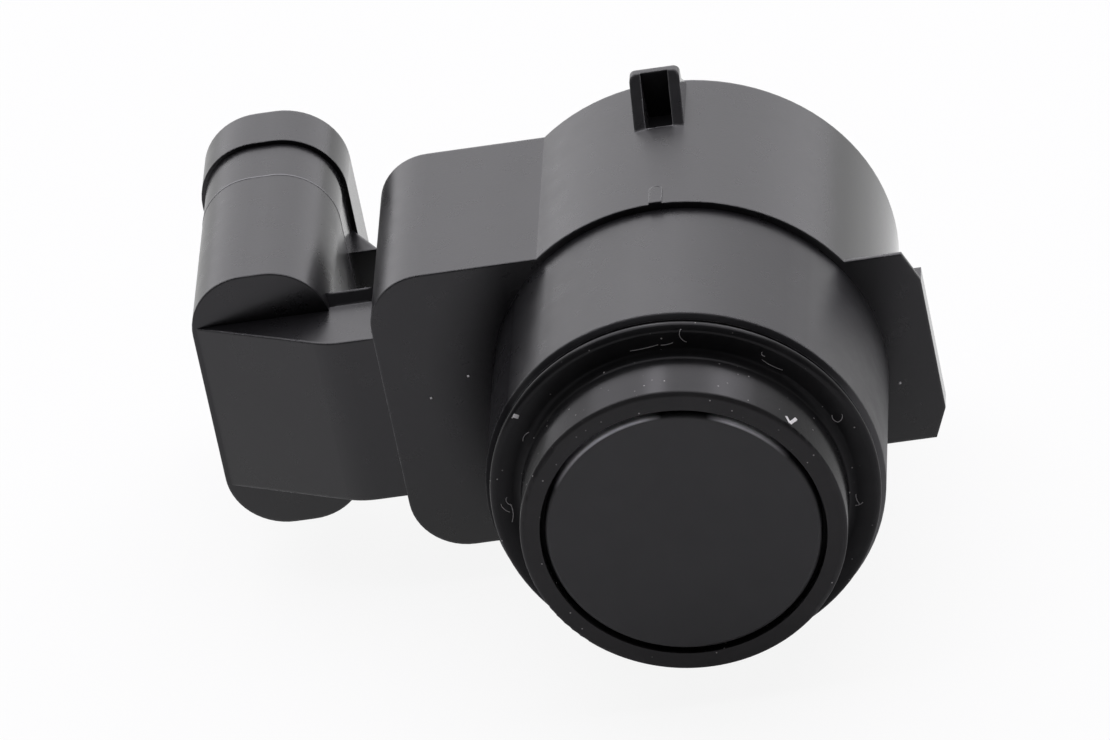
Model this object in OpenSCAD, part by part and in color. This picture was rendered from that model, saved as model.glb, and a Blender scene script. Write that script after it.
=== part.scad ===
// Ultrasonic parking sensor for a car's bumper, in millimetres.
// The sensor axis lies along Y and the membrane faces -Y. The origin is on that axis,
// in the plane of the shoulder where the wider rear barrel starts. +Z is up.

/* [Transducer] */
// Diameter of the aluminium cup, whose closed front is the membrane
cup_d = 15.2; // [14.6:0.1:15.8]
// Length of the cup
cup_l = 9; // [7:0.25:10]
// Thickness of the membrane
membrane_t = 0.7; // [0.4:0.05:1]
// Thickness of the cup's side wall
cup_wall = 1.6; // [1:0.1:2]
// Rounding of the membrane's edge
membrane_round = 0.25; // [0.1:0.05:0.4]
// Diameter of the piezo disc
piezo_d = 8; // [6:0.5:10]
// Thickness of the piezo disc
piezo_t = 0.4; // [0.2:0.05:0.8]
// Thickness of the damping pad
pad_t = 3; // [1:0.25:4.5]
// Diameter of the two leads
lead_d = 0.5; // [0.3:0.05:0.7]
// Distance of the signal lead from the sensor axis
signal_lead_r = 2.6; // [1.5:0.1:2.7]

/* [Decoupling ring] */
// Outside diameter of the collar round the membrane
collar_d = 18; // [17.4:0.1:18.4]
// Length of the collar, from its front face to the flange
collar_l = 4.03; // [3:0.05:5]
// Rounding of the collar's front edge
collar_round = 0.3; // [0.1:0.05:0.5]
// Fillet between the collar and the flange
root_fillet = 0.5; // [0.3:0.05:0.9]
// Diameter of the flange
flange_d = 21.6; // [20.6:0.1:21.9]
// Thickness of the flange, whose rim is half round
flange_t = 0.8; // [0.5:0.05:1.2]
// Width of the groove round the membrane
groove_w = 0.3; // [0.15:0.05:0.5]
// Depth of the groove round the membrane
groove_depth = 0.9; // [0.4:0.1:2]
// Diameter of the sleeve inside the barrel
sleeve_d = 18.5; // [17.8:0.1:18.8]
// Width of the lip behind the cup
lip_w = 0.6; // [0.3:0.1:0.8]
// Length of the lip behind the cup
lip_l = 2.5; // [1.5:0.1:3]

/* [Barrel] */
// Diameter of the front barrel, the seat in the holder
front_barrel_d = 22.1; // [21.9:0.05:22.4]
// Length of the front barrel
front_barrel_l = 11.3; // [10:0.1:14]
// Chamfer on the front barrel's edge
barrel_chamfer = 0.3; // [0.1:0.05:0.5]
// Diameter of the rear barrel
rear_barrel_d = 22.9; // [22.6:0.1:24]
// Length of the rear barrel and of the block
rear_barrel_l = 13.2; // [12.8:0.1:16]
// Wall of the housing
wall = 1.5; // [1.3:0.05:1.7]
// Thickness of the inner ring that stops the sleeve
stop_t = 1.5; // [1:0.1:2]

/* [Block] */
// Distance of the block's outer face from the sensor axis
block_reach = 17.08; // [16.5:0.1:19]
// Height of the block
block_h = 17.9; // [17.2:0.1:19]
// Rounding of the block's two outer edges
block_corner = 3.2; // [2.5:0.1:4]

/* [Plug tube] */
// Width of the tube
tube_w = 7.9; // [7.5:0.05:9]
// Height of the tube
tube_h = 16.4; // [15.8:0.1:18]
// Rounding of the tube's corners
tube_corner = 3.4; // [2.5:0.1:3.6]
// Gap between the block and the tube
tube_gap = 2.65; // [2.2:0.05:4]
// Distance of the tube's closed end behind the shoulder
tube_setback = 3.75; // [3.4:0.05:4]
// Length of the tube up to its collar
tube_l = 14.15; // [13.5:0.05:18]
// Length of the collar at the open end
mouth_l = 3.3; // [1.5:0.1:4]
// How far the collar stands out from the tube
mouth_step = 0.25; // [0.1:0.05:0.5]
// Wall of the tube
tube_wall = 1.1; // [0.9:0.05:1.2]
// Depth of the socket
socket_depth = 14.5; // [12:0.1:16]

/* [Bridge] */
// Height of the bridge
bridge_h = 10.5; // [9.5:0.1:11.5]
// Setback of the bridge's front from the shoulder
bridge_setback = 0.1; // [0.05:0.05:0.5]
// Distance of the bend from the block
bend_reach = 2.6; // [1.5:0.1:3.5]
// Width of the tube's end that stays bare beside the slanted front
end_margin = 0.3; // [0.1:0.05:1]
// Distance of the bridge's back behind the shoulder
bridge_back = 4.1; // [3.9:0.05:5]
// Rounding of the bend
bend_round = 4; // [1:0.5:6]

/* [Web] */
// Height of the web's crest above the bridge
web_rise = 0.63; // [0.3:0.01:1]
// Length of the ramp up to the crest
web_ramp = 0.53; // [0.3:0.01:1]
// Length of the web behind its crest
web_l = 4.4; // [3:0.1:5]
// Height of the web at its back
web_back_h = 5; // [2:0.1:6]

/* [Catch] */
// Height of the catch on the tube's flank
catch_h = 3.8; // [2.5:0.1:5]
// How far the catch stands out from the tube
catch_rise = 1.6; // [0.8:0.1:2]
// Length of the catch's ramp, up to the collar
catch_l = 2.5; // [1.5:0.1:3.5]

/* [Tab] */
// Distance of the tab's edge from the sensor axis
tab_reach = 13.7; // [13:0.1:16]
// Height of the tab
tab_h = 12.14; // [10:0.1:14]
// Thickness of the tab's middle
tab_t = 1.4; // [0.8:0.1:2.5]
// Thickness of the tab's two chamfered ends
tab_end_t = 0.25; // [0.15:0.05:0.6]
// Height of the tab's corner chamfers
tab_chamfer_h = 1.85; // [1:0.05:2.5]
// Width of the tab's corner chamfers
tab_chamfer_w = 0.8; // [0.4:0.05:1.2]

/* [Lug] */
// Width of the lug on top of the rear barrel
lug_w = 2.84; // [2.4:0.05:4]
// Thickness of the lug's two cheeks
lug_cheek = 0.65; // [0.4:0.05:0.9]
// Height of the lug above the barrel
lug_rise = 2.2; // [1.5:0.05:3]
// Distance of the lug's end from the barrel's rear edge
lug_gap = 0.4; // [0.2:0.05:1]
// Length of the lug's front ramp
lug_ramp = 2.4; // [2:0.05:3]
// Length of the lug's flat top
lug_top = 0.4; // [0.3:0.05:1]
// Depth of the lug's upright back
lug_drop = 0.9; // [0.3:0.1:1.3]
// Length of the lug's back slope
lug_back = 1.7; // [0.8:0.1:1.9]
// Rounding of the lug's two top corners
lug_corner = 0.35; // [0.1:0.05:0.6]
// Depth of the lug's pocket below the barrel's surface
lug_recess = 0.7; // [0.3:0.05:0.9]

/* [Nub] */
// Width of the nub at the shoulder
nub_w = 0.74; // [0.5:0.02:1.2]
// Length of the nub
nub_l = 1.75; // [1:0.05:3]
// Height of the nub above the barrel
nub_rise = 0.1; // [0.05:0.05:0.5]

/* [Rear cover] */
// Thickness of the cover
cover_t = 1.5; // [1:0.1:2]
// Width of the ledge that carries the cover
cover_ledge = 0.7; // [0.4:0.05:0.9]
// Depth of the shallow field in the cover's back
cover_field = 0.3; // [0.1:0.05:0.5]
// Width of the border round that field
cover_border = 1.6; // [1:0.1:2.5]
// Rounding of the field's two outer corners
field_corner = 0.6; // [0.3:0.1:1]

/* [Terminals] */
// Distance between the terminals
pin_pitch = 4; // [3.4:0.1:4]
// Width of a terminal
pin_w = 0.8; // [0.5:0.05:1]
// Thickness of a terminal
pin_t = 0.6; // [0.4:0.05:0.7]
// Length of a terminal inside the socket
pin_l = 9; // [6:0.1:9.5]
// Length of a terminal's tapered tip
pin_tip = 0.8; // [0.4:0.1:1.2]
// Distance of the terminals' cross run behind the shoulder
cross_setback = 2.85; // [2.8:0.05:3]
// Distance of the solder legs inside the block's wall
leg_inset = 2.2; // [1.8:0.1:2.6]

/* [Circuit board] */
// Thickness of the board
board_t = 1; // [0.8:0.1:1.6]
// Distance of the board's front behind the shoulder
board_y = 6.5; // [6:0.1:6.7]
// How far the solder legs stand out behind the board
leg_stand_out = 0.8; // [0.4:0.1:1.2]
// Diameter of the posts that carry the board
post_d = 2.2; // [1.8:0.1:2.4]
// Diameter of the transformer's core
core_d = 6.4; // [5:0.1:7]
// Height of the transformer's core
core_h = 5; // [4:0.1:6]
// Thickness of the core's two discs
core_disc_t = 0.8; // [0.5:0.1:1]
// Diameter of the core's middle
core_middle_d = 2.8; // [2:0.1:3.2]
// Side of the square control chip
chip_side = 5; // [4:0.1:6]
// Height of the control chip
chip_h = 1; // [0.6:0.1:1.4]
// Diameter of the supply capacitor
capacitor_d = 4; // [3:0.1:4.4]
// Height of the supply capacitor
capacitor_h = 4; // [3:0.1:4.5]
// Length of the protection diode
diode_l = 4.3; // [3:0.1:5]
// Width of the protection diode
diode_w = 2.6; // [1.6:0.1:3]
// Height of the protection diode
diode_h = 2.2; // [1.2:0.1:2.4]
// Length of a small chip
small_l = 1.6; // [1:0.1:2]
// Width of a small chip
small_w = 0.8; // [0.5:0.05:1]
// Height of a small chip
small_h = 0.6; // [0.3:0.05:0.9]
// Distance between small chips in a row
small_pitch = 1.7; // [1.4:0.1:2]

/* [Board layout] */
// Distance of the transformer from the sensor axis, away from the plug tube
core_x = 2.6; // [2:0.1:3.5]
// Distance of the control chip from the sensor axis, towards the plug tube
chip_x = 6.5; // [5:0.1:7.5]
// Distance of the supply capacitor from the sensor axis, towards the plug tube
capacitor_x = 6.5; // [5.5:0.1:7]
// Distance of the supply capacitor below the sensor axis
capacitor_z = 3.4; // [3:0.1:4]
// Distance of the protection diode from the sensor axis, away from the plug tube
diode_x = 4.2; // [3:0.1:4.5]
// Distance of the protection diode above the sensor axis
diode_z = 4.6; // [4:0.1:5]
// Distance of the first filter capacitor from the sensor axis, away from the plug tube
filter_x = 0.4; // [0:0.1:1]
// Distance of the filter capacitors below the sensor axis
filter_z = 5.6; // [5:0.1:6]
// Distance of the chip resistors from the sensor axis, away from the plug tube
resistor_x = 5.6; // [5:0.1:6.5]
// Distance of the middle chip resistor below the sensor axis
resistor_z = 0.8; // [0.5:0.1:1]

/* [Fits] */
// Radial gap between round pieces that fit into each other
fit_gap = 0.05; // [0.02:0.01:0.1]
// Gap round the board
board_gap = 0.4; // [0.2:0.05:0.6]
// Gap round the rear cover
cover_gap = 0.1; // [0.05:0.05:0.2]
// Gap round a solder leg in its hole
leg_gap = 0.1; // [0.05:0.05:0.2]
// Gap between a solder leg and the post beside it
post_gap = 0.4; // [0.3:0.05:0.8]

/* [Hidden] */
$fn = 96;

// A cut runs past the face it opens by this much, and joined solids share as much
past = 1;

plastic_black = [0.13, 0.13, 0.14];
silicone_black = [0.07, 0.07, 0.075];
lacquer_black = [0.17, 0.17, 0.175];
tin_grey = [0.72, 0.72, 0.70];
ferrite_grey = [0.20, 0.20, 0.21];
copper_brown = [0.72, 0.40, 0.22];
board_green = [0.10, 0.32, 0.17];
ceramic_tan = [0.70, 0.62, 0.48];
ceramic_white = [0.85, 0.83, 0.76];
foam_grey = [0.55, 0.55, 0.57];

// Places along the sensor axis
barrel_front = -front_barrel_l;
flange_front = barrel_front - flange_t;
membrane_front = flange_front - collar_l;
piezo_front = membrane_front + membrane_t;
piezo_back = piezo_front + piezo_t;
pad_back = piezo_back + pad_t;
cup_back = membrane_front + cup_l;
stop_front = cup_back + lip_l;
stop_back = stop_front + stop_t;
cover_front = rear_barrel_l - cover_t;
board_back = board_y + board_t;
leg_end = board_back + leg_stand_out;

// Radii round the sensor axis
cup_r = cup_d / 2;
cup_inner_r = cup_r - cup_wall;
collar_r = collar_d / 2;
flange_r = flange_d / 2;
sleeve_r = sleeve_d / 2;
bore_r = sleeve_r + fit_gap;
front_barrel_r = front_barrel_d / 2;
rear_barrel_r = rear_barrel_d / 2;
cavity_r = front_barrel_r - wall;
stop_r = cup_r - lip_w / 2;
ground_lead_r = cup_r - cup_wall / 2 - lip_w / 2;

// Places of the plug tube and the bridge
tube_x = -(block_reach + tube_gap + tube_w / 2);
tube_right = tube_x + tube_w / 2;
tube_left = tube_x - tube_w / 2;
mouth_front = tube_setback + tube_l;
mouth_back = mouth_front + mouth_l;
socket_floor = mouth_back - socket_depth;
bend_x = -(block_reach + bend_reach);
web_crest = bridge_back + web_ramp;
web_back = web_crest + web_l;
catch_front = mouth_front - catch_l;
leg_x = -(block_reach - wall - leg_inset);
pin_end = socket_floor + pin_l;

// Places of the lug
lug_top_z = rear_barrel_r + lug_rise;
lug_end = rear_barrel_l - lug_gap;
ridge_end = lug_end - lug_back;
ramp_end = ridge_end - lug_top;
lug_foot = ramp_end - lug_ramp;

// Places of the posts that carry the board
post_x = leg_x + pin_t / 2 + post_gap + post_d / 2;
post_z = block_h / 2 - wall - board_gap - post_d / 2;
far_post_x = cavity_r - board_gap - post_d / 2;

// Extrudes an XZ outline along Y
module along_y(from, to) {
    translate([0, to, 0])
        rotate([90, 0, 0])
            linear_extrude(to - from) children();
}

// Extrudes a YZ outline along X
module along_x(from, to) {
    translate([from, 0, 0])
        rotate([90, 0, 90])
            linear_extrude(to - from) children();
}

// Turns a profile round the sensor axis, with the radius first and the place along Y second
module turned() {
    rotate([-90, 0, 0])
        rotate_extrude() children();
}

// Strip of a turned profile, from one radius and place to another
module strip(r_from, r_to, y_from, y_to) {
    translate([r_from, y_from])
        square([r_to - r_from, y_to - y_from]);
}

module rounded_rectangle(w, h, r) {
    square([w - 2 * r, h], center = true);
    square([w, h - 2 * r], center = true);
    for (x = [-1, 1], y = [-1, 1])
        translate([x * (w / 2 - r), y * (h / 2 - r)]) circle(r);
}

// Outline of the rear barrel and the block, drawn in from the outside by inset
module body_outline(inset, corner) {
    circle(rear_barrel_r - inset);
    translate([-(block_reach - inset) / 2, 0])
        rounded_rectangle(block_reach - inset, block_h - 2 * inset, corner);
}

// The same outline with its corners drawn in as well, for walls of even thickness
module body_shell(inset) {
    body_outline(inset, block_corner - inset);
}

module tube_outline(inset) {
    translate([tube_x, 0])
        rounded_rectangle(tube_w - 2 * inset, tube_h - 2 * inset, tube_corner - inset);
}

// Front barrel with its chamfered edge, solid
module front_barrel() {
    turned() {
        strip(0, front_barrel_r - barrel_chamfer, barrel_front, past);
        polygon([[front_barrel_r - barrel_chamfer, barrel_front],
                 [front_barrel_r, barrel_front + barrel_chamfer],
                 [front_barrel_r, past],
                 [front_barrel_r - barrel_chamfer, past]]);
    }
}

// Bridge with a straight front beside the block, a rounded bend and a slanted front before the tube
module bridge() {
    slant_x = tube_left + end_margin;
    slant = atan2(tube_setback - bridge_setback, bend_x - slant_x);
    tangent = bend_round * tan(slant / 2);
    bend_start = [bend_x + tangent, bridge_setback];
    bend_end = [bend_x - tangent * cos(slant), bridge_setback + tangent * sin(slant)];
    bend_middle = [bend_x + tangent, bridge_setback + bend_round];
    translate([0, 0, -bridge_h / 2])
        linear_extrude(bridge_h) {
            polygon([[past - block_reach, bridge_setback],
                     bend_start,
                     bend_end,
                     [slant_x, tube_setback],
                     [slant_x, tube_setback + past],
                     [tube_right - past, bridge_back],
                     [past - block_reach, bridge_back]]);
            intersection() {
                translate(bend_middle) circle(bend_round);
                polygon([bend_start, [bend_x, bridge_setback], bend_end]);
            }
        }
}

// Wedge-shaped web behind the bridge, with a low crest above and below
module web() {
    crest_z = bridge_h / 2 + web_rise;
    along_x(tube_right - past, past - block_reach)
        polygon([[bridge_back - past, -bridge_h / 2],
                 [bridge_back, -bridge_h / 2],
                 [web_crest, -crest_z],
                 [web_back, -web_back_h / 2],
                 [web_back, web_back_h / 2],
                 [web_crest, crest_z],
                 [bridge_back, bridge_h / 2],
                 [bridge_back - past, bridge_h / 2]]);
}

// Catch for the plug's latch, with a ramp towards the open end
module catch() {
    translate([0, 0, -catch_h / 2])
        linear_extrude(catch_h)
            polygon([[tube_right - past, catch_front],
                     [tube_right + catch_rise, catch_front],
                     [tube_right, mouth_front],
                     [tube_right - past, mouth_front]]);
}

// Tube with its collar, solid
module plug_tube() {
    along_y(tube_setback, mouth_back) tube_outline(0);
    along_y(mouth_front, mouth_back) tube_outline(-mouth_step);
}

// Tab with thin chamfered ends and a thicker middle
module tab() {
    middle_h = tab_h - 2 * tab_chamfer_h;
    along_y(0, tab_end_t)
        polygon([[0, -tab_h / 2],
                 [tab_reach - tab_chamfer_w, -tab_h / 2],
                 [tab_reach, -middle_h / 2],
                 [tab_reach, middle_h / 2],
                 [tab_reach - tab_chamfer_w, tab_h / 2],
                 [0, tab_h / 2]]);
    along_y(0, tab_t)
        translate([0, -middle_h / 2]) square([tab_reach, middle_h]);
}

// Ramped lug, solid: a ramp at the front, a flat top, an upright back and a slope
module lug() {
    foot_z = rear_barrel_r - past;
    slope = lug_ramp / lug_rise;
    intersection() {
        along_x(-lug_w / 2, lug_w / 2)
            polygon([[lug_foot - slope * past, foot_z],
                     [ramp_end, lug_top_z],
                     [ridge_end, lug_top_z],
                     [ridge_end, lug_top_z - lug_drop],
                     [lug_end, rear_barrel_r],
                     [lug_end, foot_z]]);
        along_y(lug_foot - 2 * past, lug_end)
            translate([0, lug_top_z / 2]) rounded_rectangle(lug_w, lug_top_z, lug_corner);
    }
}

// Pocket between the lug's cheeks, open to the front and sunk into the barrel
module lug_pocket() {
    translate([-lug_w / 2 + lug_cheek, lug_foot, rear_barrel_r - lug_recess])
        cube([lug_w - 2 * lug_cheek, lug_ramp, lug_rise + lug_recess + past]);
}

// Low nub at the shoulder, with a round end
module nub() {
    linear_extrude(rear_barrel_r + nub_rise) {
        translate([-nub_w / 2, 0]) square([nub_w, nub_l - nub_w / 2]);
        translate([0, nub_l - nub_w / 2]) circle(nub_w / 2);
    }
}

// Post that carries the board, from the inside of the front wall
module post(x, z, from) {
    along_y(from, board_y)
        translate([x, z]) circle(post_d / 2);
}

module housing() {
    color(plastic_black) {
        difference() {
            union() {
                front_barrel();
                along_y(0, rear_barrel_l) body_shell(0);
                bridge();
                web();
                plug_tube();
                catch();
                tab();
                lug();
                nub();
            }
            lug_pocket();
            along_y(barrel_front - past, stop_front) circle(bore_r);
            along_y(stop_front - past, stop_back + past) circle(stop_r);
            along_y(stop_back, wall + past) circle(cavity_r);
            along_y(wall, rear_barrel_l + past) body_shell(wall);
            along_y(cover_front, rear_barrel_l + past) body_shell(wall - cover_ledge);
            along_y(socket_floor, mouth_back + past) tube_outline(tube_wall);
            for (place = [-1, 0, 1]) terminal(place);
        }
        for (side = [-1, 1]) post(post_x, side * post_z, wall - past / 2);
        post(far_post_x, 0, stop_back - past / 2);
    }
}

// Plate welded into the back of the housing
module rear_cover() {
    color(plastic_black)
        difference() {
            along_y(cover_front, rear_barrel_l) body_shell(wall - cover_ledge + cover_gap);
            along_y(rear_barrel_l - cover_field, rear_barrel_l + past)
                body_outline(wall + cover_border, field_corner);
        }
}

// Silicone ring: collar, flange with a round rim, sleeve and the lip behind the cup
module decoupling_ring() {
    seat_r = cup_r + fit_gap;
    groove_r = cup_r + groove_w;
    groove_back = membrane_front + groove_depth;
    rim_r = flange_t / 2;
    edge_round = min(collar_round, (collar_r - groove_r) / 2);
    color(silicone_black)
        turned() {
            strip(groove_r, collar_r - edge_round, membrane_front, groove_back);
            strip(groove_r, collar_r, membrane_front + edge_round, groove_back);
            translate([collar_r - edge_round, membrane_front + edge_round]) circle(edge_round);
            strip(seat_r, collar_r, groove_back, flange_front);
            difference() {
                strip(seat_r, collar_r + root_fillet, flange_front - root_fillet, flange_front);
                translate([collar_r + root_fillet, flange_front - root_fillet]) circle(root_fillet);
            }
            strip(seat_r, flange_r - rim_r, flange_front, barrel_front);
            translate([flange_r - rim_r, flange_front + rim_r]) circle(rim_r);
            strip(seat_r, sleeve_r, barrel_front, stop_front);
            strip(cup_r - lip_w, sleeve_r, cup_back, stop_front);
        }
}

// Aluminium cup, whose closed front is the membrane
module transducer_cup() {
    color(lacquer_black)
        turned() {
            strip(0, cup_r - membrane_round, membrane_front, piezo_front);
            strip(cup_inner_r, cup_r, membrane_front + membrane_round, cup_back);
            translate([cup_r - membrane_round, membrane_front + membrane_round]) circle(membrane_round);
        }
}

module piezo_disc() {
    color(ceramic_white)
        along_y(piezo_front, piezo_back) circle(piezo_d / 2);
}

// Pad with a hole for the signal lead
module damping_pad() {
    color(foam_grey)
        along_y(piezo_back, pad_back)
            difference() {
                circle(cup_inner_r - fit_gap);
                translate([-signal_lead_r, 0]) circle(lead_d / 2 + fit_gap);
            }
}

// Lead from the back of the piezo disc to the board
module signal_lead() {
    color(copper_brown)
        along_y(piezo_back, board_y)
            translate([-signal_lead_r, 0]) circle(lead_d / 2);
}

// Lead from the cup's back rim to the board
module ground_lead() {
    color(copper_brown)
        along_y(cup_back, board_y)
            translate([-ground_lead_r, 0]) circle(lead_d / 2);
}

// Board with a hole for each solder leg
module circuit_board() {
    color(board_green)
        along_y(board_y, board_back)
            difference() {
                body_shell(wall + board_gap);
                for (place = [-1, 0, 1])
                    translate([leg_x, place * pin_pitch])
                        square([pin_t + 2 * leg_gap, pin_w + 2 * leg_gap], center = true);
            }
}

// Chip that stands on the back of the board
module board_chip(x, z, w, h, rise) {
    along_y(board_back, board_back + rise)
        translate([x, z]) square([w, h], center = true);
}

module control_chip() {
    color(ferrite_grey)
        board_chip(-chip_x, 0, chip_side, chip_side, chip_h);
}

// Ferrite drum on the front of the board
module transformer_core() {
    core_front = board_y - core_h;
    color(ferrite_grey)
        translate([core_x, 0, 0])
            turned() {
                strip(0, core_d / 2, core_front, core_front + core_disc_t);
                strip(0, core_middle_d / 2, core_front, board_y);
                strip(0, core_d / 2, board_y - core_disc_t, board_y);
            }
}

// Copper winding between the drum's discs
module transformer_winding() {
    winding_r = core_d / 2 - core_disc_t / 2;
    color(copper_brown)
        translate([core_x, 0, 0])
            turned()
                strip(core_middle_d / 2 + fit_gap, winding_r,
                      board_y - core_h + core_disc_t, board_y - core_disc_t);
}

// Can on the front of the board
module supply_capacitor() {
    color(tin_grey)
        along_y(board_y - capacitor_h, board_y)
            translate([-capacitor_x, -capacitor_z]) circle(capacitor_d / 2);
}

module protection_diode() {
    color(ferrite_grey)
        board_chip(diode_x, diode_z, diode_l, diode_w, diode_h);
}

// Row of four small chips along X
module filter_capacitors() {
    color(ceramic_tan)
        for (k = [0:3])
            board_chip(filter_x + k * small_pitch, -filter_z, small_w, small_l, small_h);
}

// Row of three small chips along Z
module chip_resistors() {
    color(ferrite_grey)
        for (k = [0:2])
            board_chip(resistor_x, (k - 1) * small_pitch - resistor_z, small_l, small_w, small_h);
}

// Terminal bent from strip: pin in the socket, cross run in the bridge, leg through the board
module terminal(place) {
    color(tin_grey)
        translate([0, 0, place * pin_pitch - pin_w / 2])
            linear_extrude(pin_w)
                polygon([[tube_x - pin_t / 2, cross_setback],
                         [leg_x + pin_t / 2, cross_setback],
                         [leg_x + pin_t / 2, leg_end],
                         [leg_x - pin_t / 2, leg_end],
                         [leg_x - pin_t / 2, cross_setback + pin_t],
                         [tube_x + pin_t / 2, cross_setback + pin_t],
                         [tube_x + pin_t / 2, pin_end - pin_tip],
                         [tube_x + pin_t / 4, pin_end],
                         [tube_x - pin_t / 4, pin_end],
                         [tube_x - pin_t / 2, pin_end - pin_tip]]);
}

module upper_terminal() {
    terminal(1);
}

module middle_terminal() {
    terminal(0);
}

module lower_terminal() {
    terminal(-1);
}

housing();
rear_cover();
decoupling_ring();
transducer_cup();
piezo_disc();
damping_pad();
signal_lead();
ground_lead();
circuit_board();
control_chip();
transformer_core();
transformer_winding();
supply_capacitor();
protection_diode();
filter_capacitors();
chip_resistors();
upper_terminal();
middle_terminal();
lower_terminal();
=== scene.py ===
# %% [markdown]
# # A black parking sensor for a car's bumper
# The sensor is a small moulded part: a barrel with a round membrane in a silicone ring, a block at its
# side, and a plug tube behind it. Its solids come ready from the CAD frame, in metres and in place, so
# this lesson is about finishes, small surface detail, light and the camera.

# %% Load the frame and keep its box
import math

import bmesh
import bpy
from mathutils import Matrix, Quaternion, Vector


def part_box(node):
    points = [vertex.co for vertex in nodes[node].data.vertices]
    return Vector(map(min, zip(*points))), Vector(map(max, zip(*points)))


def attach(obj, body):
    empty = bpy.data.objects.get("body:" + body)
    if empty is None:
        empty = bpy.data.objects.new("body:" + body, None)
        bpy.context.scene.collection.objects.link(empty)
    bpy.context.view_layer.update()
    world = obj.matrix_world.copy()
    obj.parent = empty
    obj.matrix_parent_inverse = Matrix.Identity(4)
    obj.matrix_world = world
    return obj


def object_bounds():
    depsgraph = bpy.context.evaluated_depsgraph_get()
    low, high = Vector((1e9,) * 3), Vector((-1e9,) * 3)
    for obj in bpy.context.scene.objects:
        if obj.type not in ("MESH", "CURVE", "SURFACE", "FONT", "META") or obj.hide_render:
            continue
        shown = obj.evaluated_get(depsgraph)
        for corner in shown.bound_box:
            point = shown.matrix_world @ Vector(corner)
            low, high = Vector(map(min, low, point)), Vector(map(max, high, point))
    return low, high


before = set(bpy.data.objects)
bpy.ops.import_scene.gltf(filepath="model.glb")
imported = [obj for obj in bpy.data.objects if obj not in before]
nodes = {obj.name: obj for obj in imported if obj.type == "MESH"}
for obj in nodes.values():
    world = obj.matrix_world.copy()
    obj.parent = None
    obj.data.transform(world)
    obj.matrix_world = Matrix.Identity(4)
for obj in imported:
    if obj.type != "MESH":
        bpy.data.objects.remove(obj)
cad_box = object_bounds()
MM = 0.001
lowest, highest = cad_box
print("nodes:", len(nodes), "box in mm:", [round((b - a) / MM, 2) for a, b in zip(lowest, highest)])

# %% [markdown]
# ## The camera
# A small object photographed from far away with a long lens shows little perspective. The camera could
# be placed by eye, but here its place, the point that it looks at and its roll were worked out from the
# circles of the barrel and the straight edges of the block, so the render has the photograph's view.

# %% Place the camera
CAMERA_PLACE = Vector((85.23, -640.01, 389.61)) * MM
AIM_POINT = Vector((-7.81, 2.74, 0.0)) * MM
CAMERA_ROLL = math.radians(-12.05)
FOCAL_LENGTH = 438.3
SENSOR_WIDTH = 36.0

camera_data = bpy.data.cameras.new("camera")
camera_data.lens = FOCAL_LENGTH
camera_data.sensor_width = SENSOR_WIDTH
camera = bpy.data.objects.new("camera", camera_data)
view = (AIM_POINT - CAMERA_PLACE).to_track_quat("-Z", "Y") @ Quaternion((0, 0, 1), CAMERA_ROLL)
camera.matrix_world = Matrix.Translation(CAMERA_PLACE) @ view.to_matrix().to_4x4()
bpy.context.scene.collection.objects.link(camera)
bpy.context.scene.camera = camera
bpy.context.scene.view_settings.view_transform = "Standard"
print("camera distance in mm:", round((AIM_POINT - CAMERA_PLACE).length / MM, 1))

# %% [markdown]
# ## Helpers for node trees
# A finish is a small graph of nodes. In the editor each node is added and wired by hand. In a script that
# makes long cells, so a few helpers do the repeated work: they add a node and fill its sockets by name,
# start a material, and give noise, ranges, sums and mixed colours.

# %% Add nodes and start a finish
def fill(tree, socket, value):
    """Links a node's output to a socket, or sets the socket to a plain value."""
    if isinstance(value, bpy.types.NodeSocket):
        tree.links.new(value, socket)
    else:
        socket.default_value = value


def fill_by_name(tree, node, **sockets):
    """Fills a node's sockets by their names, where an underscore stands for a space."""
    for name, value in sockets.items():
        fill(tree, node.inputs[name.replace("_", " ")], value)


def add(tree, kind, settings=None, **sockets):
    """Adds a node with its settings and fills its sockets."""
    node = tree.nodes.new(kind)
    for name, value in (settings or {}).items():
        setattr(node, name, value)
    fill_by_name(tree, node, **sockets)
    return node


def start_finish(name):
    """A material with an empty Principled shader, and the Object coordinates that its patterns use."""
    material = bpy.data.materials.new(name)
    material.use_nodes = True
    tree = material.node_tree
    shader = tree.nodes["Principled BSDF"]
    place = add(tree, "ShaderNodeTexCoord").outputs["Object"]
    return material, tree, shader, place


# %% Noise, ranges and sums
def per_metre(size):
    """Texture scale for a pattern whose grains are as big as size, in millimetres."""
    return 1 / (size * MM)


def noise(tree, place, size, detail=2.0, roughness=0.5):
    """Noise between 0 and 1 with grains of the given size in millimetres."""
    node = add(tree, "ShaderNodeTexNoise", Vector=place, Scale=per_metre(size),
               Detail=detail, Roughness=roughness)
    return node.outputs["Fac"]


def spread(tree, value, low, high, to_low, to_high):
    """Takes a value from one range to another and stops at its ends."""
    node = add(tree, "ShaderNodeMapRange", {"clamp": True}, Value=value,
               From_Min=low, From_Max=high, To_Min=to_low, To_Max=to_high)
    return node.outputs["Result"]


def calc(tree, operation, *values):
    """The result of a Math node, whose values are numbers or the outputs of other nodes."""
    node = add(tree, "ShaderNodeMath", {"operation": operation})
    for value, socket in zip(values, node.inputs):
        fill(tree, socket, value)
    return node.outputs["Value"]


def product(tree, first, second):
    return calc(tree, "MULTIPLY", first, second)


def by_axis(tree, vector):
    """The X, Y and Z of a place or a direction."""
    return add(tree, "ShaderNodeSeparateXYZ", Vector=vector).outputs


# %% Colours, bumps and dressing
RAMP_LOW, RAMP_HIGH = 0.3, 0.7
# The Mix node holds sockets for every kind of data: amount, first, second and result, by their places.
MIX_SOCKETS = {"RGBA": (0, 6, 7, 2), "VECTOR": (0, 4, 5, 1)}


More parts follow.
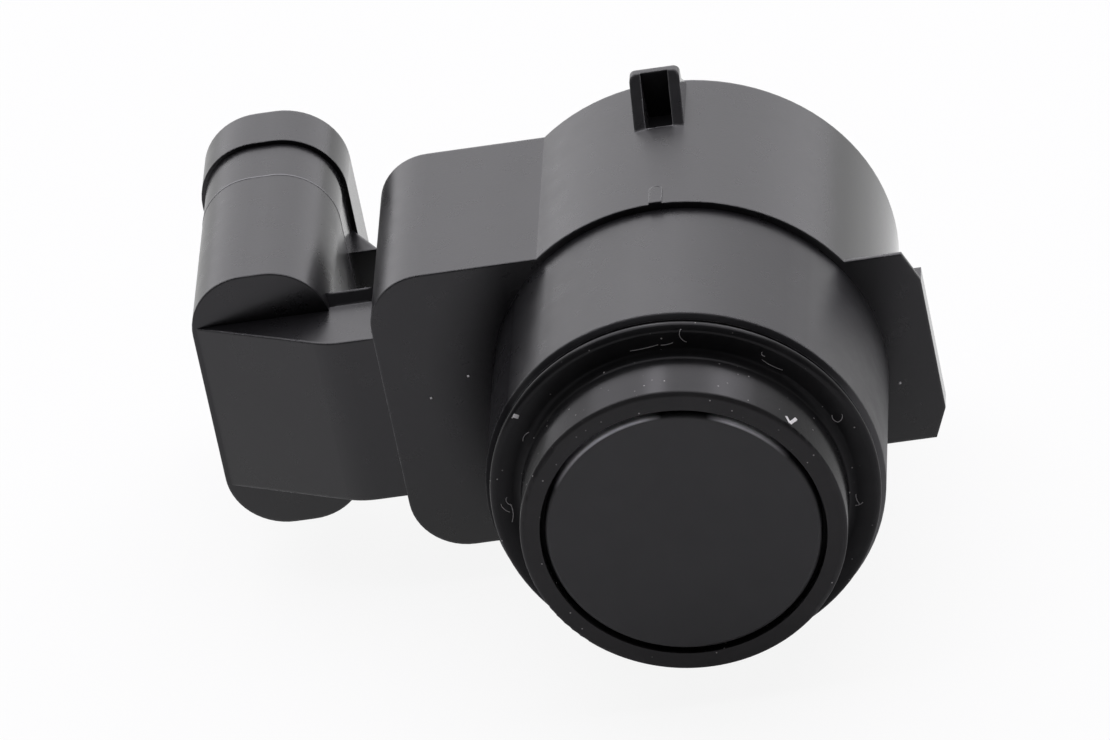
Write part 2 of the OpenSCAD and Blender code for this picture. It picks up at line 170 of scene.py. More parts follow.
def tone(colour, factor=1.0):
    return tuple(channel * factor for channel in colour) + (1.0,)


def two_tone(tree, value, colour, factors):
    """A colour that goes from a darker to a lighter tone of itself as the value rises."""
    ramp = add(tree, "ShaderNodeValToRGB", Fac=value)
    stops = ramp.color_ramp.elements
    for stop, position, factor in zip(stops, (RAMP_LOW, RAMP_HIGH), factors):
        stop.position = position
        stop.color = tone(colour, factor)
    return ramp.outputs["Color"]


def blend(tree, kind, amount, first, second):
    """Mixes two colours or two vectors, each a value or a node's output."""
    node = add(tree, "ShaderNodeMix", {"data_type": kind})
    *inlets, outlet = MIX_SOCKETS[kind]
    for inlet, value in zip(inlets, (amount, first, second)):
        fill(tree, node.inputs[inlet], value)
    return node.outputs[outlet]


def bumped(tree, height, strength, depth, **sockets):
    """Normals that follow a height, with a depth in metres."""
    node = add(tree, "ShaderNodeBump", Height=height, Strength=strength, Distance=depth, **sockets)
    return node.outputs["Normal"]


def dress(material, *names):
    """Gives CAD nodes their finish."""
    for name in names:
        nodes[name].data.materials.clear()
        nodes[name].data.materials.append(material)
    print(material.name, "on", ", ".join(names))


# %% [markdown]
# ## Black moulded plastic: its edges
# The housing and its rear cover are glass-filled plastic from one tool: near black, satin, with a fine
# eroded grain and edges that are never quite sharp. The rounding could be cut into the mesh, but the
# CAD mesh stays as it is, so a Bevel node bends the normals near each edge. It would round inner corners
# too, which a mould leaves sharp, so the Ambient Occlusion node keeps it to the outer ones. A second,
# narrower Bevel node finds the outer edges, whose colour is painted paler in patches as a painted highlight.

# %% Soft outer edges
AIR_SAMPLES = 8
BEVEL_SAMPLES = 6
OUTSIDE_AIR = (0.8, 0.96)
BENT_LIKENESS = (0.985, 0.8)


def open_air(tree, reach):
    """The share of open air within a reach in metres: 1 on open faces, less in corners."""
    settings = {"samples": AIR_SAMPLES, "only_local": True}
    return add(tree, "ShaderNodeAmbientOcclusion", settings, Distance=reach).outputs["AO"]


def only_outside(tree, reach):
    """1 on open faces and outer edges, 0 in inner corners."""
    return spread(tree, open_air(tree, reach), *OUTSIDE_AIR, 0.0, 1.0)


def plain_and_bent(tree, radius):
    """A face's own normal, and the normal that bends round its edges within a radius."""
    plain = add(tree, "ShaderNodeNewGeometry").outputs["Normal"]
    bent = add(tree, "ShaderNodeBevel", {"samples": BEVEL_SAMPLES}, Radius=radius).outputs["Normal"]
    return plain, bent


def soft_edges(tree, radius, outside):
    """Normals that bend round the outer edges alone."""
    plain, bent = plain_and_bent(tree, radius)
    return blend(tree, "VECTOR", outside, plain, bent)


# The mask of the outer edges, where the colour is painted paler as a painted highlight.
def painted_highlight_edges(tree, radius, outside):
    """1 on the outer edges, where the normals bend most, and 0 on the faces."""
    plain, bent = plain_and_bent(tree, radius)
    likeness = add(tree, "ShaderNodeVectorMath", {"operation": "DOT_PRODUCT"})
    tree.links.new(bent, likeness.inputs[0])
    tree.links.new(plain, likeness.inputs[1])
    return product(tree, spread(tree, likeness.outputs["Value"], *BENT_LIKENESS, 0.0, 1.0), outside)


# %% [markdown]
# ## Black moulded plastic: its gloss
# Gloss is never even. The deep corner between block and barrel isn't wiped, so it stays dull. A holder
# slides over the front barrel and leaves the sides of its top duller than the middle, and its right flank
# scuffed. The other flanks that look right, on the rear barrel, the tab and the tube's collar, come out of
# the tool smoother than the faces with the eroded grain. A painted map could hold all this, but a few
# ranges of Object coordinates do it without a picture.

# %% Dull corner, barrel sides and flanks
DEEP_AIR = (0.55, 0.97)
DULL_REACH = 4.0 * MM
DULL_FROM, DULL_TO, DULL_FADE = -16.0 * MM, -7.3 * MM, 2.0 * MM
FLANK_FROM, FLANK_TO = -8.8 * MM, -7.9 * MM
SLIDE_SHARE = 0.57
SLIDE_FROM, SLIDE_TO = 1.0 * MM, 7.0 * MM
SLIDE_LEFT, SLIDE_LEFT_FADE = -7.2 * MM, 1.0 * MM
SLIDE_RIGHT, SLIDE_RIGHT_FADE = 8.0 * MM, 2.0 * MM
FLANK_FACING = (0.75, 0.97)
SMOOTH_FLANK, ROUGH_FLANK = 0.3, 1.8
COLLAR_PLACE = 14.4 * MM
STEP = 0.1 * MM


def front_barrel(tree, parts, on, off):
    """One value on the front barrel, which is all that stands before the shoulder, and another behind it."""
    return spread(tree, parts["Y"], -2 * STEP, -STEP, on, off)


def deep_corner(tree, parts, ahead):
    """1 in the deep corner between block and barrel, 0 elsewhere."""
    deep = spread(tree, open_air(tree, DULL_REACH), *DEEP_AIR, 1.0, 0.0)
    after = spread(tree, parts["X"], DULL_FROM, DULL_FROM + DULL_FADE, 0.0, 1.0)
    before = spread(tree, parts["X"], DULL_TO - DULL_FADE, DULL_TO, 1.0, 0.0)
    corner = product(tree, deep, product(tree, after, before))
    flank = product(tree, spread(tree, parts["X"], FLANK_FROM, FLANK_TO, 1.0, 0.0), ahead)
    return calc(tree, "MAXIMUM", corner, flank)


def slid_sides(tree, parts, ahead):
    """How much gloss the front barrel has lost on both sides of its top, from 0 to 1."""
    lost = spread(tree, calc(tree, "ABSOLUTE", parts["X"]), SLIDE_FROM, SLIDE_TO, 0.0, SLIDE_SHARE)
    since = spread(tree, parts["X"], SLIDE_LEFT, SLIDE_LEFT + SLIDE_LEFT_FADE, 0.0, 1.0)
    until = spread(tree, parts["X"], SLIDE_RIGHT, SLIDE_RIGHT + SLIDE_RIGHT_FADE, 1.0, 0.0)
    return product(tree, product(tree, ahead, lost), product(tree, since, until))


def flank_factor(tree, parts):
    """Roughness of the faces that look right, as a share of that of the other faces."""
    facing = by_axis(tree, add(tree, "ShaderNodeTexCoord").outputs["Normal"])
    on_barrel = front_barrel(tree, parts, ROUGH_FLANK, SMOOTH_FLANK)
    on_right = spread(tree, parts["X"], 0.0, STEP, 1.0, on_barrel)
    share = spread(tree, parts["Y"], COLLAR_PLACE, COLLAR_PLACE + STEP, on_right, SMOOTH_FLANK)
    return spread(tree, facing["X"], *FLANK_FACING, 1.0, share)


# %% Black moulded plastic
PLASTIC_COLOUR = (0.0112, 0.011, 0.0119)
# Painted highlight: the pale colour on the outer edges, and the width that it takes.
PLASTIC_EDGE_HIGHLIGHT = (0.30, 0.30, 0.306)
EDGE_RADIUS = 0.22 * MM
HIGHLIGHT_RADIUS = 0.09 * MM
CORNER_REACH = 0.5 * MM
FULL_GLOSS, CORNER_GLOSS = 0.48, 0.02
SHEEN, SHEEN_ROUGHNESS = 0.05, 0.2
PLASTIC_ROUGHNESS = (0.26, 0.32)
CLOUD_SIZE, HIGHLIGHT_PATCH_SIZE, STREAK_SIZE, GRAIN_SIZE = 6.0, 0.9, 1.6, 0.14
CLOUD_TONES = (0.88, 1.12)
HIGHLIGHT_PATCH_RANGE, HIGHLIGHT_PATCH_SHARES = (0.35, 0.65), (0.25, 1.0)
GRAIN_STRENGTH, GRAIN_DEPTH = 0.22, 0.02 * MM


def plastic_colour(tree, place, outside):
    """Near black with faint clouds, and a painted highlight in patches along the outer edges."""
    clouds = noise(tree, place, CLOUD_SIZE, detail=3.0)
    colour = two_tone(tree, clouds, PLASTIC_COLOUR, CLOUD_TONES)
    patches = noise(tree, place, HIGHLIGHT_PATCH_SIZE, detail=4.0, roughness=0.7)
    highlight_strength = spread(tree, patches, *HIGHLIGHT_PATCH_RANGE, *HIGHLIGHT_PATCH_SHARES)
    # Painted highlight: the outer edges are painted paler, in patches.
    painted_highlight = product(tree, painted_highlight_edges(tree, HIGHLIGHT_RADIUS, outside), highlight_strength)
    return blend(tree, "RGBA", painted_highlight, colour, tone(PLASTIC_EDGE_HIGHLIGHT))


def moulded_plastic():
    material, tree, shader, place = start_finish("moulded_plastic")
    parts = by_axis(tree, place)
    outside = only_outside(tree, CORNER_REACH)
    ahead = front_barrel(tree, parts, 1.0, 0.0)
    deep = deep_corner(tree, parts, ahead)
    gloss = spread(tree, deep, 0.0, 1.0, FULL_GLOSS, CORNER_GLOSS)
    kept = calc(tree, "SUBTRACT", 1.0, slid_sides(tree, parts, ahead))
    streaks = noise(tree, place, STREAK_SIZE, detail=4.0, roughness=0.6)
    rough = spread(tree, streaks, RAMP_LOW, RAMP_HIGH, *PLASTIC_ROUGHNESS)
    grain = noise(tree, place, GRAIN_SIZE, detail=3.0, roughness=0.6)
    fill_by_name(tree, shader, Base_Color=plastic_colour(tree, place, outside),
                 Specular_IOR_Level=product(tree, gloss, kept),
                 Sheen_Weight=spread(tree, deep, 0.0, 1.0, SHEEN, 0.0), Sheen_Roughness=SHEEN_ROUGHNESS,
                 Roughness=product(tree, rough, flank_factor(tree, parts)),
                 Normal=bumped(tree, grain, GRAIN_STRENGTH, GRAIN_DEPTH,
                               Normal=soft_edges(tree, EDGE_RADIUS, outside)))
    return material


dress(moulded_plastic(), "housing", "rear_cover")

# %% [markdown]
# ## Silicone
# The decoupling ring is soft black silicone, smoother than the housing, so it mirrors the lights as
# wide bands. Silicone also holds dust: a thin grey film lies on it, thickest on the front face, with pale
# specks. A film that is the same all over would only look grey, so noise breaks it up, and a cell pattern
# gives the specks. The light fits a collar whose side leans a little to the front, so a Bump node whose
# height rises along the axis tips its normals, and the Ambient Occlusion node takes the gloss from its root.

# %% Dust on the silicone
SILICONE_COLOUR = (0.011, 0.011, 0.0114)
DUST_COLOUR = (0.30, 0.29, 0.28)
FILM_SIZE, FILM_RANGE, FILM_SHARE = 2.2, (0.35, 0.75), 0.02
FRONT_DUST = 0.05
FACE_DEPTH, FACE_FADE = 0.08 * MM, 0.15 * MM
SPECK_GAP = 0.5
SPECK_REACH = (0.06, 0.11)
SPECK_CHOICE = (0.5, 0.9)
SPECK_COVER, SPECK_TONE = 0.9, 1.7
ring_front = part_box("decoupling_ring")[0][1]


def dusty_colour(tree, place, parts, film):
    """Black under a grey film that is thickest on the front face, with pale specks in some cells."""
    face_end = ring_front + FACE_DEPTH
    front = spread(tree, parts["Y"], face_end, face_end + FACE_FADE, FRONT_DUST, 0.0)
    filmed = blend(tree, "RGBA", calc(tree, "ADD", film, front), tone(SILICONE_COLOUR), tone(DUST_COLOUR))
    cells = add(tree, "ShaderNodeTexVoronoi", Vector=place, Scale=per_metre(SPECK_GAP), Randomness=1.0)
    near = spread(tree, cells.outputs["Distance"], *SPECK_REACH, 1.0, 0.0)
    lots = add(tree, "ShaderNodeSeparateColor", Color=cells.outputs["Color"])
    chosen = spread(tree, lots.outputs["Red"], *SPECK_CHOICE, 0.0, SPECK_COVER)
    return blend(tree, "RGBA", product(tree, near, chosen), filmed, tone(DUST_COLOUR, SPECK_TONE))


# %% Silicone
SILICONE_GLOSS = 0.16
SILICONE_ROUGHNESS = (0.19, 0.24)
ROOT_REACH = 2.0 * MM
ROOT_AIR = (0.6, 0.95)
DRAFT = math.tan(math.radians(12))
SKIN_SIZE, SKIN_STRENGTH, SKIN_DEPTH = 0.4, 0.06, 0.02 * MM


def silicone():
    material, tree, shader, place = start_finish("silicone")
    parts = by_axis(tree, place)
    patches = noise(tree, place, FILM_SIZE, detail=4.0, roughness=0.6)
    film = spread(tree, patches, *FILM_RANGE, 0.0, FILM_SHARE)
    draft = bumped(tree, product(tree, parts["Y"], DRAFT), strength=1.0, depth=1.0)
    fill_by_name(tree, shader, Base_Color=dusty_colour(tree, place, parts, film),
                 Specular_IOR_Level=spread(tree, open_air(tree, ROOT_REACH), *ROOT_AIR, 0.0, SILICONE_GLOSS),
                 Roughness=spread(tree, film, 0.0, FILM_SHARE, *SILICONE_ROUGHNESS),
                 Normal=bumped(tree, noise(tree, place, SKIN_SIZE), SKIN_STRENGTH, SKIN_DEPTH, Normal=draft))
    return material


dress(silicone(), "decoupling_ring")

# %% [markdown]
# ## Lacquered membrane
# The membrane is the closed front of an aluminium cup, sprayed with the matt lacquer that lets it take a
# body colour later. Sprayed lacquer has a very fine, even texture and hardly any gloss. Two thin crescents
# on the upper rim are a painted highlight: a pale colour where the rounded edge would mirror the lamps.
# They could be two bent strips of mesh, but the material finds them by their distance from the sensor's axis.

# %% Painted highlight on the membrane's rim
# Painted highlight: a pale colour in two crescents on the upper rim.
RIM_HIGHLIGHT_COLOUR = (0.88, 0.88, 0.89)
RIM_HIGHLIGHT_WIDTH = 0.2 * MM
RIM_GAP_PLACE = 1.3 * MM
RIM_GAP_FROM, RIM_GAP_TO = 1.2 * MM, 2.4 * MM
RIM_UP_FROM, RIM_UP_TO = 3.8 * MM, 6.6 * MM
membrane_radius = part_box("transducer_cup")[1][0]


def painted_rim_highlight(tree, place):
    """1 in the two crescents of painted highlight along the upper edge of the membrane, 0 elsewhere."""
    parts = by_axis(tree, place)
    flat = add(tree, "ShaderNodeCombineXYZ", X=parts["X"], Z=parts["Z"]).outputs["Vector"]
    reach = add(tree, "ShaderNodeVectorMath", {"operation": "LENGTH"})
    tree.links.new(flat, reach.inputs[0])
    rim_start = membrane_radius - RIM_HIGHLIGHT_WIDTH
    edge = spread(tree, reach.outputs["Value"], rim_start, rim_start + RIM_HIGHLIGHT_WIDTH / 2, 0.0, 1.0)
    aside = calc(tree, "ABSOLUTE", calc(tree, "SUBTRACT", parts["X"], RIM_GAP_PLACE))
    apart = spread(tree, aside, RIM_GAP_FROM, RIM_GAP_TO, 0.0, 1.0)
    upper = spread(tree, parts["Z"], RIM_UP_FROM, RIM_UP_TO, 0.0, 1.0)
    return product(tree, edge, product(tree, apart, upper))


# %% Matt lacquer
LACQUER_COLOUR = (0.0168, 0.0168, 0.0172)
LACQUER_GLOSS = 0.5
LACQUER_ROUGHNESS = (0.52, 0.60)
MOTTLE_SIZE, MOTTLE_TONES = 1.2, (0.94, 1.06)
MIST_SIZE, MIST_STRENGTH, MIST_DEPTH = 0.1, 0.12, 0.01 * MM


def matt_lacquer():
    material, tree, shader, place = start_finish("matt_lacquer")
    mottle = noise(tree, place, MOTTLE_SIZE, detail=5.0, roughness=0.65)
    colour = two_tone(tree, mottle, LACQUER_COLOUR, MOTTLE_TONES)
    # The rim's pale colour is a painted highlight.
    fill_by_name(tree, shader, Specular_IOR_Level=LACQUER_GLOSS,
                 Base_Color=blend(tree, "RGBA", painted_rim_highlight(tree, place), colour, tone(RIM_HIGHLIGHT_COLOUR)),
                 Roughness=spread(tree, mottle, RAMP_LOW, RAMP_HIGH, *LACQUER_ROUGHNESS),
                 Normal=bumped(tree, noise(tree, place, MIST_SIZE), MIST_STRENGTH, MIST_DEPTH))
    return material


dress(matt_lacquer(), "transducer_cup")

# %% [markdown]
# ## The pieces inside
# Nothing of the board and the transducer's inner pieces shows while the housing is closed, yet each gets
# the finish that it has, for a cut-away view. Each could have a graph of its own, but they share one
# recipe: a mottled colour, an uneven gloss and a grain, with sizes of their own.

# %% A plain finish
PATCH_PER_GRAIN = 6
PLAIN_TONES = (0.85, 1.12)
PLAIN_UNEVENNESS = (0.88, 1.12)
PLAIN_STRENGTH = 0.3


def plain_finish(name, colour, roughness, grain, depth, metallic=0.0):
    """A mottled colour, an uneven gloss, and a grain whose size and depth are in millimetres."""
    material, tree, shader, place = start_finish(name)
    mottle = noise(tree, place, grain * PATCH_PER_GRAIN, detail=3.0)
    uneven = [roughness * share for share in PLAIN_UNEVENNESS]
    fill_by_name(tree, shader, Metallic=metallic,
                 Base_Color=two_tone(tree, mottle, colour, PLAIN_TONES),
                 Roughness=spread(tree, mottle, RAMP_LOW, RAMP_HIGH, *uneven),
                 Normal=bumped(tree, noise(tree, place, grain), PLAIN_STRENGTH, depth * MM))
    return material


# %% Dress the transducer and the board
dress(plain_finish("piezo_ceramic", (0.62, 0.59, 0.50), roughness=0.55, grain=0.12, depth=0.01), "piezo_disc")
dress(plain_finish("damping_foam", (0.24, 0.24, 0.25), roughness=0.85, grain=0.35, depth=0.06), "damping_pad")
dress(plain_finish("bare_copper", (0.72, 0.38, 0.20), roughness=0.30, grain=0.2, depth=0.01, metallic=1.0),
      "signal_lead", "ground_lead", "transformer_winding")
dress(plain_finish("solder_mask", (0.03, 0.14, 0.06), roughness=0.35, grain=0.5, depth=0.01), "circuit_board")
dress(plain_finish("chip_case", (0.03, 0.03, 0.032), roughness=0.50, grain=0.15, depth=0.01),
      "control_chip", "protection_diode", "chip_resistors")
dress(plain_finish("ferrite", (0.07, 0.07, 0.075), roughness=0.45, grain=0.2, depth=0.02), "transformer_core")
dress(plain_finish("drawn_can", (0.72, 0.72, 0.73), roughness=0.28, grain=0.4, depth=0.01, metallic=1.0),
      "supply_capacitor")
dress(plain_finish("fired_ceramic", (0.45, 0.34, 0.20), roughness=0.40, grain=0.15, depth=0.01),
      "filter_capacitors")
dress(plain_finish("tinned_strip", (0.66, 0.66, 0.64), roughness=0.32, grain=0.3, depth=0.01, metallic=1.0),
      "upper_terminal", "middle_terminal", "lower_terminal")

# %% [markdown]
# ## Witness line on the plug tube
# Where two halves of the mould meet, the plastic creeps into the joint and leaves a line as fine as a
# hair round the tube. It is a real bead, and its pale colour is a painted highlight along it. A flat grid
# gets round corners by a bevel, an inset leaves a narrow band, and the band is extruded along the tube.

# %% A helper for new pieces
def add_piece(name, shape, finish):
    """Turns a bmesh into a piece that moves with the part."""
    bmesh.ops.recalc_face_normals(shape, faces=shape.faces)
    mesh = bpy.data.meshes.new(name)
    shape.to_mesh(mesh)
    shape.free()
    mesh.materials.append(finish)
    piece = bpy.data.objects.new(name, mesh)
    bpy.context.scene.collection.objects.link(piece)
    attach(piece, "root")
    print(name, "faces:", len(mesh.polygons))


# %% Witness line
TUBE_CENTRE_X = -23.68 * MM
TUBE_SIZE = (7.9 * MM, 16.4 * MM)
TUBE_CORNER = 3.4 * MM
WITNESS_PLACE = 14.45 * MM
WITNESS_WIDTH = 0.12 * MM
WITNESS_RISE = 0.012 * MM
WITNESS_DEPTH = 0.15 * MM
CORNER_STEPS = 24
# Painted highlight: the bead's pale colour.
WITNESS_HIGHLIGHT_COLOUR = (0.13, 0.13, 0.134)


def witness_line():
    shape = bmesh.new()
    width, height = (side + 2 * WITNESS_RISE for side in TUBE_SIZE)
    upright = Matrix.Rotation(math.radians(90), 4, "X")
    seat = Matrix.Translation((TUBE_CENTRE_X, WITNESS_PLACE, 0))
    bmesh.ops.create_grid(shape, x_segments=1, y_segments=1, size=0.5,
                          matrix=seat @ upright @ Matrix.Diagonal((width, height, 1, 1)))
    bmesh.ops.bevel(shape, geom=shape.verts[:], offset=TUBE_CORNER + WITNESS_RISE, offset_type="OFFSET",
                    affect="VERTICES", segments=CORNER_STEPS, profile=0.5, material=-1)
    sheet = shape.faces[:]
    band = bmesh.ops.inset_region(shape, faces=sheet, thickness=WITNESS_DEPTH, use_boundary=True)["faces"]
    bmesh.ops.delete(shape, geom=sheet, context="FACES")
    grown = bmesh.ops.extrude_face_region(shape, geom=band)["geom"]
    moved = [item for item in grown if isinstance(item, bmesh.types.BMVert)]
    bmesh.ops.translate(shape, verts=moved, vec=(0, WITNESS_WIDTH, 0))
    # The pale finish paints the highlight along the bead.
    painted_highlight = plain_finish("highlight_painted_plastic", WITNESS_HIGHLIGHT_COLOUR, roughness=0.4, grain=0.3, depth=0.01)
    add_piece("witness_line", shape, painted_highlight)


witness_line()

# %% [markdown]
# ## Fibres on the silicone
# Soft silicone holds lint: a few short grey fibres lie on the flange. They could be drawn in the
# material, but a thread that lies on a surface also has a shadow and a bright side. A small disc swept
# round a point by spin makes a bent fibre. Each end is placed by its radius from the sensor's axis and
# its angle from the top, so it lies on the ring, and a share of sag gives its bend.

# %% Places on the ring
COLLAR_LENGTH = 4.03 * MM
COLLAR_RADIUS = 9.0 * MM
FORWARD = Vector((0, -1, 0))
flange_front = ring_front + COLLAR_LENGTH


def round_axis(radius, angle, depth):
    """A point by its radius, its angle from the top in degrees, and its place along the sensor's axis."""
    turn = math.radians(angle)
    return Vector((radius * math.sin(turn), depth, radius * math.cos(turn)))


def on_flange(radius, angle):
    """A point on the flange's front, with the radius in millimetres."""
    return round_axis(radius * MM, angle, flange_front)


print("flange front in mm:", round(flange_front / MM, 2))

# %% Lay the fibres
FIBRE_RADIUS = 0.018 * MM
FIBRE_SIDES, FIBRE_STEPS = 6, 8
FIBRE_COLOUR = (0.42, 0.41, 0.40)
TOP_FIBRES = (((10.62, 8.7), (9.79, 10.4), 0.25), ((9.65, -8.3), (9.70, 1.2), 0.02),
              ((9.66, 2.0), (9.76, 6.0), 0.06), ((9.34, -0.6), (9.41, 1.9), 0.45))
RIGHT_FIBRES = (((9.05, 27.4), (9.20, 29.8), 0.1), ((9.68, 35.6), (9.66, 43.5), 0.05),
                ((10.12, 34.5), (9.94, 36.0), 0.3), ((9.58, 67.1), (9.63, 70.4), 0.2),
                ((9.63, 70.4), (10.08, 68.4), 0.2))
LEFT_FIBRES = (((9.50, -60.0), (9.41, -55.9), -0.15), ((10.20, -84.9), (9.77, -88.1), 0.15),
               ((9.84, -82.4), (9.60, -85.5), 0.3), ((9.70, -85.0), (9.78, -92.0), -0.1))
LOW_FIBRES = (((9.25, 103.9), (9.78, 102.5), 0.15), ((9.39, 99.4), (9.60, 103.2), 0.1))


def fibre(shape, start, end, bulge):
    """A thread on the flange from start to end, each a radius and an angle; bulge is its share of sag."""
    first, last = on_flange(*start), on_flange(*end)
    chord = last - first
    sag = bulge * chord.length
    bow = (chord.length ** 2 / 4 + sag ** 2) / (2 * sag)
    centre = (first + last) / 2 + chord.cross(FORWARD).normalized() * (sag - bow)
    axis = (first - centre).cross(last - centre).normalized()
    along = axis.cross(first - centre).to_track_quat("Z", "Y").to_matrix().to_4x4()
    disc = bmesh.ops.create_circle(shape, cap_ends=True, segments=FIBRE_SIDES, radius=FIBRE_RADIUS,
                                   matrix=Matrix.Translation(first) @ along)["verts"]
    geometry = disc + list({edge for vert in disc for edge in vert.link_edges}) + list(disc[0].link_faces)
    bmesh.ops.spin(shape, geom=geometry, cent=centre, axis=axis, angle=(first - centre).angle(last - centre),
                   steps=FIBRE_STEPS, use_merge=False)


fibres = bmesh.new()
for start, end, bulge in TOP_FIBRES + RIGHT_FIBRES + LEFT_FIBRES + LOW_FIBRES:
    fibre(fibres, start, end, bulge)
grey_fibre = plain_finish("grey_fibre", FIBRE_COLOUR, roughness=0.8, grain=0.1, depth=0.01)
add_piece("lint_fibres", fibres, grey_fibre)

# %% [markdown]
# ## Chips and specks
# A bent pale chip is stuck to the collar, a short one to the flange, and three specks of dust to the
# plastic. A spot of colour would do from far away, but up close each has a thickness, so each is a flat
# box with soft edges that is half sunk into its surface.

# %% Lay the chips
CHIP_THICKNESS = 0.06 * MM
CHIP_SOFTNESS = 0.4
CHIP_COLOUR = (0.80, 0.79, 0.77)
BENT_CHIP = ((48.3, -15.25), (50.1, -15.70), (52.9, -14.75))
BENT_CHIP_TURNS = (49, 51)
BENT_CHIP_WIDTHS = (0.17 * MM, 0.20 * MM)
FLANGE_CHIP = ((10.65, -52.6), (10.33, -52.3))
FLANGE_CHIP_WIDTH = 0.24 * MM
SPECK_SIZE = 0.13 * MM
SPECK_PLACES = ((-12.28, 2.04), (-14.59, 0.94), (11.45, -2.23))


def chip(shape, first, last, outward, width):
    """A thin flat chip from one point to another on a surface that faces outward."""
    along = (last - first).normalized()
    side = outward.cross(along).normalized()
    turned = Matrix((along, side, along.cross(side))).transposed().to_4x4()
    sizes = Matrix.Diagonal(((last - first).length, width, CHIP_THICKNESS, 1))
    place = Matrix.Translation((first + last) / 2) @ turned @ sizes
    corners = bmesh.ops.create_cube(shape, size=1.0, matrix=place)["verts"]
    edges = list({edge for vert in corners for edge in vert.link_edges})
    bmesh.ops.bevel(shape, geom=edges, offset=CHIP_THICKNESS * CHIP_SOFTNESS, offset_type="OFFSET",
                    affect="EDGES", segments=2, profile=0.5, material=-1)


chips = bmesh.new()
bend = [round_axis(COLLAR_RADIUS, angle, depth * MM) for angle, depth in BENT_CHIP]
for first, last, turn, width in zip(bend, bend[1:], BENT_CHIP_TURNS, BENT_CHIP_WIDTHS):
    chip(chips, first, last, round_axis(1, turn, 0), width)
chip(chips, on_flange(*FLANGE_CHIP[0]), on_flange(*FLANGE_CHIP[1]), FORWARD, FLANGE_CHIP_WIDTH)
half_speck = Vector((SPECK_SIZE / 2, 0, 0))
for x, z in SPECK_PLACES:
    centre = Vector((x, 0, z)) * MM
    chip(chips, centre - half_speck, centre + half_speck, FORWARD, SPECK_SIZE)
pale_chip = plain_finish("pale_chip", CHIP_COLOUR, roughness=0.8, grain=0.1, depth=0.01)
add_piece("lint_chips", chips, pale_chip)

# %% [markdown]
# ## Floor and backdrop
# A catalogue picture has a white background. White could come from more light, but that would bleach the
# part too. Instead the floor and the world show white to the camera, and to the rays that mirror or pass
# through a surface, by the Light Path node. In front of the part, where the tent is open, mirrors see less
# of that white. A share of the floor's own shading stays, and with it the soft shadow under the part.

# %% Helpers for the background
WHITE = (1.0, 1.0, 1.0, 1.0)


def whitened(tree, straight, mirrored):
    """How white the background is: one share for the camera, one for mirrors and glass, none for light."""
    rays = add(tree, "ShaderNodeLightPath")
    value = product(tree, rays.outputs["Is Camera Ray"], straight)
    for name in ("Is Glossy Ray", "Is Transmission Ray"):
        value = calc(tree, "MAXIMUM", value, product(tree, rays.outputs[name], mirrored))
    return value


def mix_shaders(tree, amount, first, second, output):
    """Mixes two shaders and links the mix to the tree's output node."""
    mixed = tree.nodes.new("ShaderNodeMixShader")
    for source, socket in zip((amount, first, second), mixed.inputs):
        tree.links.new(source, socket)
    tree.links.new(mixed.outputs["Shader"], tree.nodes[output].inputs["Surface"])


# %% Floor
FLOOR_HALF = 3.0
FLOOR_COLOUR = (0.86, 0.86, 0.86)
FLOOR_ROUGHNESS = 0.9
FLOOR_MOTTLE, FLOOR_TONES = 40.0, (0.99, 1.01)
WHITE_SHARE = 0.9
MIRRORED_SHARE_FRONT, MIRRORED_SHARE_BACK = 0.17, 0.95
MIRROR_FRONT, MIRROR_BACK = -18 * MM, 8 * MM


def pale_floor():
    material, tree, shader, place = start_finish("pale_floor")
    mottle = noise(tree, place, FLOOR_MOTTLE)
    fill_by_name(tree, shader, Roughness=FLOOR_ROUGHNESS,
                 Base_Color=two_tone(tree, mottle, FLOOR_COLOUR, FLOOR_TONES))
    mirrored = spread(tree, by_axis(tree, place)["Y"], MIRROR_FRONT, MIRROR_BACK,
                      MIRRORED_SHARE_FRONT, MIRRORED_SHARE_BACK)
    glow = add(tree, "ShaderNodeEmission", Color=WHITE, Strength=1.0)
    mix_shaders(tree, whitened(tree, WHITE_SHARE, mirrored), shader.outputs["BSDF"],
                glow.outputs["Emission"], "Material Output")
    return material


floor_shape = bmesh.new()
bmesh.ops.create_grid(floor_shape, x_segments=1, y_segments=1, size=FLOOR_HALF)
bmesh.ops.translate(floor_shape, verts=floor_shape.verts, vec=(0, 0, lowest[2]))
floor_mesh = bpy.data.meshes.new("floor")
floor_shape.to_mesh(floor_mesh)
floor_shape.free()
floor_mesh.materials.append(pale_floor())
floor = bpy.data.objects.new("floor", floor_mesh)
bpy.context.scene.collection.objects.link(floor)
print("floor at", round(lowest[2] / MM, 2), "mm")

# %% [markdown]
# ## Light
# The photograph was taken in a light tent: bright behind and above, and no lamp at the camera. So the
# faces that look up mirror the bright back, the flanks shine at a grazing angle, and the faces that look
# forward get only what the floor throws back. One wide lamp is the tent's back wall, and one its top. A
# window on the right lights the flanks of the plastic. Two narrow lamps give the two soft bands on the
# collar. The smooth silicone mirrors such bands, and on the rougher plastic they would be too strong, so
# light linking keeps each of these three lamps to the pieces that show it.

# %% Lamps
LAMP_COLOUR = (1.0, 0.973, 1.05)


def keep_light_to(holder, *names):
    """Lets a lamp light some CAD nodes and nothing else."""
    lit = bpy.data.collections.new(holder.name + "_lights")
    for name in names:
        lit.objects.link(nodes[name])
    holder.light_linking.receiver_collection = lit


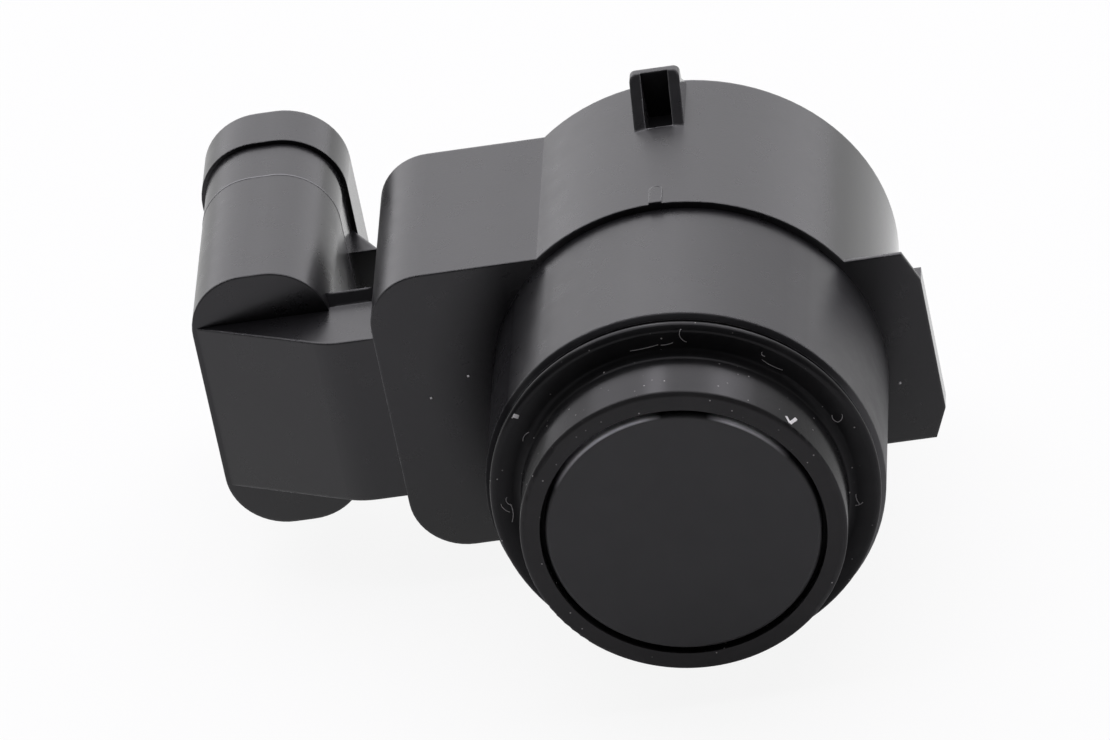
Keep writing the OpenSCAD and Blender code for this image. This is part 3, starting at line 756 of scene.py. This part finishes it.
def softbox(name, azimuth, elevation, distance, size, radiance):
    """An area lamp that faces the part, in degrees and metres; a radiance of 1 shows as full white."""
    turn, rise = math.radians(azimuth), math.radians(elevation)
    away = Vector((math.sin(turn) * math.cos(rise), math.cos(turn) * math.cos(rise), math.sin(rise)))
    lamp = bpy.data.lights.new(name, "AREA")
    lamp.shape = "RECTANGLE"
    lamp.size, lamp.size_y = size
    lamp.energy = radiance * math.pi * size[0] * size[1]
    lamp.color = LAMP_COLOUR
    holder = bpy.data.objects.new(name, lamp)
    facing = (-away).to_track_quat("-Z", "Y")
    holder.matrix_world = Matrix.Translation(away * distance) @ facing.to_matrix().to_4x4()
    bpy.context.scene.collection.objects.link(holder)
    print(name, "power in W:", round(lamp.energy, 2))
    return holder


softbox("back_wall", azimuth=-3, elevation=30, distance=2.0, size=(4.6, 2.2), radiance=0.85)
left_band = softbox("left_band", azimuth=-11.6, elevation=54, distance=1.45, size=(0.20, 0.7), radiance=4.0)
keep_light_to(left_band, "decoupling_ring")
right_band = softbox("right_band", azimuth=37, elevation=45, distance=1.45, size=(0.15, 0.7), radiance=3.5)
keep_light_to(right_band, "decoupling_ring")
softbox("tent_top", azimuth=0, elevation=72, distance=1.3, size=(2.4, 1.5), radiance=2.2)
right_window = softbox("right_window", azimuth=60, elevation=20, distance=1.45, size=(1.1, 0.9), radiance=2.0)
keep_light_to(right_window, "housing", "rear_cover")

# %% World
WORLD_STRENGTH = 0.03
SIDE_FADE = 0.2

world = bpy.data.worlds.new("tent_air")
world.use_nodes = True
world_tree = world.node_tree
air = world_tree.nodes["Background"]
fill_by_name(world_tree, air, Color=WHITE, Strength=WORLD_STRENGTH)
seen = add(world_tree, "ShaderNodeBackground", Color=WHITE, Strength=1.0)
direction = by_axis(world_tree, add(world_tree, "ShaderNodeTexCoord").outputs["Generated"])
behind = spread(world_tree, direction["Y"], -SIDE_FADE, SIDE_FADE, 0.0, 1.0)
mix_shaders(world_tree, whitened(world_tree, 1.0, behind), air.outputs["Background"],
            seen.outputs["Background"], "World Output")
bpy.context.scene.world = world
print("world strength:", WORLD_STRENGTH)
